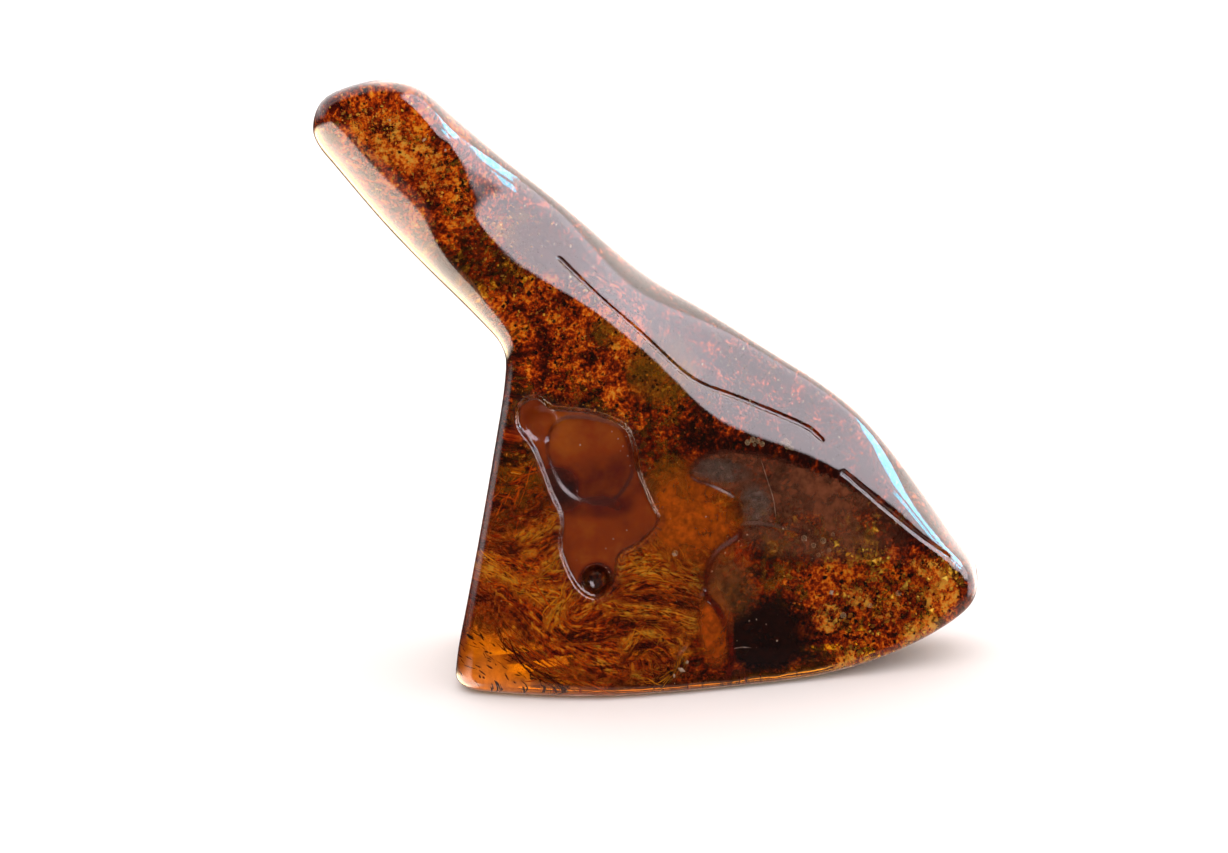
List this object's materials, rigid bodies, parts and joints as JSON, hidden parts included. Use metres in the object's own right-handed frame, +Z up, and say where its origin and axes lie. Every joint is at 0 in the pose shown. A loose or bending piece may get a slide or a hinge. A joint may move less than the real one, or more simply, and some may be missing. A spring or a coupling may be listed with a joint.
{
  "type": "amber gemstone",
  "caption": "Polished free-form piece of clear fossil resin with a broad wedge-shaped foot and a slanting arm, standing on a flat ground facet.",
  "frame": {"origin": "centre of the bounding box in plan, on the surface that the stone stands on", "axes": "+X to the right across the stone's width, +Y from its front towards its back, +Z up"},
  "size_m": [0.0548, 0.0176, 0.0503],
  "materials": {
    "amber": "polished clear resin, honey yellow where thin and dark red-brown where thick"
  },
  "bodies": {
    "root": {"amber_stone": "amber"}
  },
  "joints": []
}
